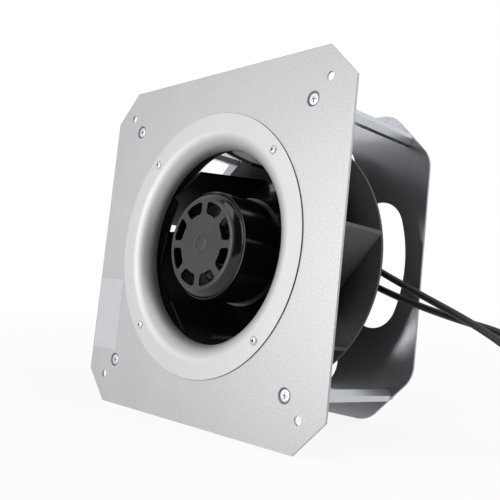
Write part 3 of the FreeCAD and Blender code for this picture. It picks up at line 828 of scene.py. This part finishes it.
class PLUGFAN_OT_rivets(bpy.types.Operator):
    """Model one blind rivet with painted shade in its mouth, and copy it round the ring"""

    bl_idname = "plugfan.rivets"
    bl_label = "Add rivets"

    def execute(self, context):
        rivet = turned_piece("rivet", rivet_outline(), steps=48)
        smooth(rivet, 40)
        reach = corner_reach("inlet_ring_rivets", RIVET_HEAD)
        piece = at_four_corners("blind_rivets", rivet, reach)
        material = rivet_metal("rivet_metal", colours().ring)
        dressed(piece, FIXED, material, "rivets", "inlet_ring_rivets")
        return {"FINISHED"}


def sticker_film(name, colour):
    """Pale film with a barely uneven tone."""
    material, tree, shader, place = new_material(name)
    clouds = shared(tree, "soft_clouds", Vector=place, Scale=60.0)
    tone = two_tones(tree, clouds["Mask"], shaded(colour, 0.97), shaded(colour, 1.02))
    tree.links.new(tone, shader.inputs["Base Color"])
    shader.inputs["Roughness"].default_value = 0.42
    speckle = shared(tree, "fine_speckle", Vector=place, Scale=900.0)
    bumped(tree, shader, speckle["Height"], strength=0.06, distance=0.03 * MM)
    return material


class PLUGFAN_OT_sticker(bpy.types.Operator):
    """Lay a bare pale sticker on the left edge of the front plate"""

    bl_idname = "plugfan.sticker"
    bl_label = "Add sticker"

    def execute(self, context):
        thickness = 0.1 * MM
        centre_x = -129.05 * MM
        centre_z = -67.3 * MM
        deselect()
        bpy.ops.mesh.primitive_plane_add(
            size=1, location=(centre_x, -thickness, centre_z), rotation=(math.pi / 2, 0, 0)
        )
        piece = bpy.context.object
        piece.name = "bare_sticker"
        piece.scale = (sizes().sticker_width, sizes().sticker_height, 1)
        settle(piece)
        edit(piece)
        bpy.ops.mesh.bevel(offset=1.2 * MM, segments=5, affect="VERTICES")
        bpy.ops.mesh.extrude_region_move(TRANSFORM_OT_translate={"value": (0, thickness * 0.9, 0)})
        leave_edit_outwards()
        dressed(piece, FIXED, sticker_film("sticker_film", colours().sticker), "front_sheet")
        return {"FINISHED"}


# Rotor and impeller

ROTOR_FACE = 40 * MM
ROTOR_WALL = 1.8 * MM
RING_HEIGHT = 0.5 * MM
RING_INNER = 6.8 * MM
RING_OUTER = 7.7 * MM
BEAD_FRONT = 5.8 * MM
VENTS = 8


def rotor_outline():
    """Section of the cup: face with a raised ring, bowed shoulder, bead, side and inside."""
    low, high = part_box("rotor_cup")
    front = low.y + RING_HEIGHT
    flank = front - 0.3 * MM
    outer = high.x
    lip = 0.3 * MM
    inner = outer - ROTOR_WALL
    inside = ROTOR_FACE - ROTOR_WALL
    face_rear = front + ROTOR_WALL
    boss = 6 * MM
    boss_rear = 14 * MM
    bore = 4.02 * MM
    bore_front = 3 * MM
    outline = [(0.3 * MM, front), (RING_INNER - 1.2 * MM, front)]
    outline += [(RING_INNER - 0.9 * MM, front + 0.2 * MM), (RING_INNER - 0.5 * MM, flank)]
    outline += [(RING_INNER, low.y), (RING_OUTER, low.y), (RING_OUTER + 0.6 * MM, flank)]
    outline += [(RING_OUTER + 1.0 * MM, front + 0.1 * MM), (RING_OUTER + 1.5 * MM, front)]
    outline += [(22 * MM, front), (ROTOR_FACE - 3.5 * MM, front)]
    shoulder = (ROTOR_FACE - 1.2 * MM, front)
    bead = (outer - 0.7 * MM, BEAD_FRONT)
    outline += bowed_line(shoulder, bead, bow=23.0, steps=16)
    outline += [(outer - 0.2 * MM, BEAD_FRONT + 0.1 * MM), (outer, BEAD_FRONT + 0.6 * MM)]
    outline += [(outer, high.y - lip), (outer - lip, high.y), (inner, high.y)]
    outline += [(inner, 7.2 * MM), (inside, 3.0 * MM), (inside, face_rear)]
    outline += [(boss, face_rear), (boss, boss_rear), (bore, boss_rear)]
    return outline + [(bore, bore_front), (0.0, bore_front)]


def move_point(piece, corner, x, z):
    """Move one corner of a flat outline to a place across the axis."""
    bpy.ops.mesh.select_all(action="DESELECT")
    mesh = bmesh.from_edit_mesh(piece.data)
    mesh.verts.ensure_lookup_table()
    point = mesh.verts[corner]
    point.select = True
    bpy.ops.transform.translate(value=(x - point.co.x, 0, z - point.co.z))


def vent_cutter(inner, outer, spoke, rounding, front, depth):
    """Curved slots with round corners, between parallel spokes."""
    half_pitch = math.pi / VENTS
    corners = []
    for radius, shares in ((outer, (-1, -1 / 3, 1 / 3, 1)), (inner, (1, 1 / 3, -1 / 3, -1))):
        half = half_pitch - math.asin(spoke / 2 / radius)
        for share in shares:
            turn = half_pitch + half * share
            corners.append((radius * math.cos(turn), radius * math.sin(turn)))
    arc_ends = (0, 3, 4, 7)
    deselect()
    bpy.ops.mesh.primitive_circle_add(
        vertices=len(corners),
        radius=outer,
        fill_type="NGON",
        location=(0, front, 0),
        rotation=(math.pi / 2, 0, 0),
    )
    slot = bpy.context.object
    settle(slot)
    edit(slot, "DESELECT")
    bpy.ops.mesh.select_mode(type="VERT")
    for corner, place in enumerate(corners):
        move_point(slot, corner, *place)
    bpy.ops.mesh.select_all(action="DESELECT")
    mesh = bmesh.from_edit_mesh(slot.data)
    mesh.verts.ensure_lookup_table()
    for corner in arc_ends:
        mesh.verts[corner].select = True
    bpy.ops.mesh.bevel(offset=rounding, segments=6, affect="VERTICES")
    bpy.ops.mesh.select_all(action="SELECT")
    bpy.ops.mesh.extrude_region_move(TRANSFORM_OT_translate={"value": (0, depth, 0)})
    leave_edit_outwards()
    slots = []
    for place in range(VENTS):
        copy = copy_of(slot, "slot")
        copy.rotation_euler = (0, 2 * half_pitch * place, 0)
        settle(copy)
        slots.append(copy)
    bpy.data.objects.remove(slot)
    return joined("slots", slots)


def rotor_paint(name, colour):
    """Grainy satin face, and a darker glossy shoulder and side."""
    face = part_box("rotor_cup")[0].y
    material, tree, shader, place = new_material(name)
    depth = add(tree, "ShaderNodeSeparateXYZ", [(0, place)]).outputs["Y"]
    shoulder = ramp(tree, depth, face + 0.9 * MM, face + 2.0 * MM)
    speckle = shared(tree, "fine_speckle", Vector=place, Scale=700.0)
    clouds = shared(tree, "soft_clouds", Vector=place, Scale=22.0)
    grain = two_tones(tree, speckle["Mask"], shaded(colour, 0.8), shaded(colour, 1.2))
    tree.links.new(two_tones(tree, shoulder, grain, shaded(colour, 0.3)), shader.inputs["Base Color"])
    rough = between(tree, clouds["Mask"], 0.24, 0.34)
    tree.links.new(two_values(tree, shoulder, rough, 0.15), shader.inputs["Roughness"])
    shader.inputs["Specular IOR Level"].default_value = 0.42
    bumped(tree, shader, speckle["Height"], strength=0.06, distance=0.1 * MM)
    return material


def painted_light_and_shade(material):
    """Paint light on a material far from the fan axis and shade near it and in front, and coat the hub.
    """
    hub = 72 * MM
    hub_end = 74 * MM
    dark_radius = 78 * MM
    pale_radius = 112 * MM
    blade_front = 18 * MM
    blade_lit = 24 * MM
    tree = material.node_tree
    place = object_place(tree)
    away = from_axis(tree, place)
    depth = add(tree, "ShaderNodeSeparateXYZ", [(0, place)]).outputs["Y"]
    # Painted light on the outer blades, painted shade near the axis and on the front of the blades
    outwards = ramp(tree, away, dark_radius, pale_radius, 0.25, 2.6)
    backwards = ramp(tree, depth, blade_front, blade_lit, 0.2, 1.0)
    shade_over(material, number(tree, "MULTIPLY", outwards, backwards))
    shader = shader_of(material)
    tree.links.new(ramp(tree, away, hub, hub_end, 1.0, 0.0), shader.inputs["Coat Weight"])
    shader.inputs["Coat Roughness"].default_value = 0.15


class PLUGFAN_OT_rotor(bpy.types.Operator):
    """Turn the painted rotor cup, and round the edges of the impeller"""

    bl_idname = "plugfan.rotor"
    bl_label = "Add rotor and impeller"

    def execute(self, context):
        tone = colours()
        paint = rotor_paint("rotor_paint", tone.paint)
        plastic = satin_black(
            "impeller_plastic", tone.plastic, roughness=0.42, grain_scale=900.0, bump=0.35, gloss=0.06
        )
        # Painted light and shade on the impeller plastic
        painted_light_and_shade(plastic)
        cup = turned_piece("painted_rotor", rotor_outline(), steps=160)
        cutter = vent_cutter(
            inner=25.8 * MM,
            outer=36.4 * MM,
            spoke=6.5 * MM,
            rounding=2.8 * MM,
            front=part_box("rotor_cup")[0].y - 1 * MM,
            depth=4.2 * MM,
        )
        cut(cup, cutter)
        rounded(cup, 0.3 * MM, angle=50)
        smooth(cup, 35)
        dressed(cup, TURNING, paint, "rotor_paint", "rotor_cup")
        wheel = softened("moulded_wheel", "impeller_wheel", 0.9 * MM, angle=50)
        dressed(wheel, TURNING, plastic, "impeller_plastic", "impeller_wheel")
        shroud = softened("moulded_shroud", "impeller_shroud", 0.35 * MM)
        dressed(shroud, TURNING, plastic, "impeller_plastic", "impeller_shroud")
        return {"FINISHED"}


# Finishes of the solids that are kept

def finish_nodes(material, names):
    """Give the kept solids a material."""
    for name in names:
        mesh = NODES[name].data
        mesh.materials.clear()
        mesh.materials.append(material)


class PLUGFAN_OT_finishes(bpy.types.Operator):
    """Give the kept solids their finishes"""

    bl_idname = "plugfan.finishes"
    bl_label = "Finish solids"

    def execute(self, context):
        tone = colours()
        screws = ["rear_spacer_screws", "rear_spacer_washers", "motor_base_screws", "bearing_cap"]
        finish_nodes(metal_sheet("rear_screw_zinc", tone.zinc, roughness=0.28), screws)
        casting = satin_black(
            "motor_casting", tone.casting, roughness=0.42, grain_scale=500.0, bump=0.4
        )
        finish_nodes(casting, ["motor_base"])
        rubber = satin_black("gland_rubber", tone.rubber, roughness=0.60, grain_scale=600.0, bump=0.2)
        finish_nodes(rubber, ["lead_glands"])
        iron = metal_sheet("stacked_sheet", tone.lamination, roughness=0.45)
        finish_nodes(iron, ["stator_core", "rotor_core"])
        varnish = satin_black(
            "winding_varnish", tone.winding, roughness=0.35, grain_scale=400.0, bump=0.5
        )
        finish_nodes(varnish, ["stator_windings"])
        cores = [name for name in NODES if name.endswith("_cores")]
        finish_nodes(metal_sheet("core_wire", tone.copper, roughness=0.30), cores)
        steel = ["bearing_outer_rings", "bearing_inner_rings", "bearing_balls", "shaft", "shaft_clip"]
        finish_nodes(metal_sheet("ground_steel", tone.steel, roughness=0.2), steel)
        return {"FINISHED"}


# Studio

CAMERA_PLACE = (0.45376, -0.37639, -0.0540)
CAMERA_TURN = (95.2068, -5.9278, 45.8254)
WHITE = (1, 1, 1, 1)


def lamp(name, power, size, place, target):
    data = bpy.data.lights.new(name, "AREA")
    data.shape = "RECTANGLE"
    data.size, data.size_y = size
    data.energy = power
    light = bpy.data.objects.new(name, data)
    light.location = place
    light.rotation_euler = (Vector(target) - Vector(place)).to_track_quat("-Z", "Y").to_euler()
    bpy.context.scene.collection.objects.link(light)


def dark_card(name, place, turn, size):
    """Black card that only shows as a reflection."""
    deselect()
    bpy.ops.mesh.primitive_plane_add(
        size=1, location=place, rotation=[math.radians(angle) for angle in turn]
    )
    card = bpy.context.object
    card.name = name
    card.scale = (*size, 1)
    card.visible_camera = False
    settle(card)
    material = new_material(name)[0]
    shader = shader_of(material)
    shader.inputs["Base Color"].default_value = (0.01, 0.01, 0.01, 1)
    shader.inputs["Roughness"].default_value = 1.0
    shader.inputs["Specular IOR Level"].default_value = 0.0
    card.data.materials.append(material)


def seen_directly(tree):
    """One for camera, mirror and glass rays, and nothing for the others."""
    rays = add(tree, "ShaderNodeLightPath").outputs
    first = number(tree, "MAXIMUM", rays["Is Camera Ray"], rays["Is Glossy Ray"])
    return number(tree, "MAXIMUM", first, rays["Is Transmission Ray"])


def white_room(strength):
    """White for what sees the room directly, and an even light for the rest."""
    world = bpy.data.worlds.new("studio")
    bpy.context.scene.world = world
    world.use_nodes = True
    tree = world.node_tree
    tree.nodes.clear()
    even = add(tree, "ShaderNodeBackground", [("Color", WHITE), ("Strength", strength)])
    white = add(tree, "ShaderNodeBackground", [("Color", WHITE), ("Strength", 1.0)])
    mix = add(tree, "ShaderNodeMixShader", [
        (0, seen_directly(tree)),
        (1, even.outputs[0]),
        (2, white.outputs[0]),
    ])
    end = add(tree, "ShaderNodeOutputWorld")
    tree.links.new(mix.outputs[0], end.inputs["Surface"])


def floor_material():
    """Pale floor that keeps a faint shadow near the fan and is white further off."""
    shadow_reach = 0.2
    white_reach = 1.2
    material, tree, shader, place = new_material("studio_floor")
    shader.inputs["Base Color"].default_value = (0.9, 0.9, 0.9, 1)
    shader.inputs["Roughness"].default_value = 0.9
    away = vector(tree, "LENGTH", place)["Value"]
    glow = ramp(tree, away, shadow_reach, white_reach, 0.88, 1.0)
    white = add(tree, "ShaderNodeEmission", [("Color", WHITE), ("Strength", 1.0)])
    mix = add(tree, "ShaderNodeMixShader", [
        (0, number(tree, "MULTIPLY", seen_directly(tree), glow)),
        (1, shader.outputs[0]),
        (2, white.outputs[0]),
    ])
    tree.links.new(mix.outputs[0], tree.nodes["Material Output"].inputs["Surface"])
    return material


class PLUGFAN_OT_stage(bpy.types.Operator):
    """Add the camera, the lamps, two dark cards, the white room and the pale floor"""

    bl_idname = "plugfan.stage"
    bl_label = "Set up studio"

    def execute(self, context):
        settings = studio()
        data = bpy.data.cameras.new("camera")
        data.lens = settings.lens
        data.sensor_width = 36.0
        camera = bpy.data.objects.new("camera", data)
        camera.location = CAMERA_PLACE
        camera.rotation_euler = [math.radians(angle) for angle in CAMERA_TURN]
        context.scene.collection.objects.link(camera)
        context.scene.camera = camera
        key = settings.key_power
        fill = settings.fill_power
        top = settings.top_power
        lamp("key", key, size=(1.1, 1.1), place=(-0.7, -1.75, 0.1), target=(0.05, 0, 0))
        lamp("fill", fill, size=(0.8, 1.2), place=(1.3, 0.1, 0.75), target=(0.05, 0.08, 0))
        lamp("top", top, size=(0.8, 0.8), place=(0.0, -0.8, 1.3), target=(0, 0.05, 0))
        dark_card("card_behind_camera", place=(0.72, -0.66, 0.65), turn=(90, 0, 48), size=(1.1, 2.0))
        dark_card("card_overhead", place=(-0.15, -0.85, 1.65), turn=(0, 0, 48), size=(1.5, 1.1))
        white_room(settings.world_strength)
        deselect()
        bpy.ops.mesh.primitive_plane_add(
            size=settings.floor_size,
            location=on_floor(0, PLATE_REAR, 0),
            rotation=(LEAN, 0, 0),
        )
        floor = context.object
        floor.name = "studio_floor"
        floor.data.materials.append(floor_material())
        context.scene.view_settings.view_transform = "Standard"
        return {"FINISHED"}


class PLUGFAN_PT_panel(bpy.types.Panel):
    """Sizes, colours and steps of the plug fan"""

    bl_idname = "PLUGFAN_PT_panel"
    bl_label = "Plug fan"
    bl_space_type = "VIEW_3D"
    bl_region_type = "UI"
    bl_category = "Plug fan"

    def draw(self, context):
        layout = self.layout
        for group in (sizes(), colours(), studio()):
            for name in group.__annotations__:
                layout.prop(group, name)
        for operator in OPERATORS:
            layout.operator(operator.bl_idname)


GROUPS = [PlugFanSizes, PlugFanColours, PlugFanStudio]
OPERATORS = [
    PLUGFAN_OT_stage,
    PLUGFAN_OT_leads,
    PLUGFAN_OT_sheets,
    PLUGFAN_OT_inlet_ring,
    PLUGFAN_OT_screws,
    PLUGFAN_OT_rivets,
    PLUGFAN_OT_sticker,
    PLUGFAN_OT_rotor,
    PLUGFAN_OT_finishes,
]


def register():
    for item in GROUPS + OPERATORS + [PLUGFAN_PT_panel]:
        bpy.utils.register_class(item)
    bpy.types.Scene.plug_fan_sizes = PointerProperty(type=PlugFanSizes)
    bpy.types.Scene.plug_fan_colours = PointerProperty(type=PlugFanColours)
    bpy.types.Scene.plug_fan_studio = PointerProperty(type=PlugFanStudio)


def unregister():
    del bpy.types.Scene.plug_fan_sizes
    del bpy.types.Scene.plug_fan_colours
    del bpy.types.Scene.plug_fan_studio
    for item in reversed(GROUPS + OPERATORS + [PLUGFAN_PT_panel]):
        bpy.utils.unregister_class(item)


def main():
    register()
    bpy.ops.plugfan.stage()
    bpy.ops.plugfan.leads()
    bpy.ops.plugfan.sheets()
    bpy.ops.plugfan.inlet_ring()
    bpy.ops.plugfan.screws()
    bpy.ops.plugfan.rivets()
    bpy.ops.plugfan.sticker()
    bpy.ops.plugfan.rotor()
    bpy.ops.plugfan.finishes()


if __name__ == "__main__":
    main()
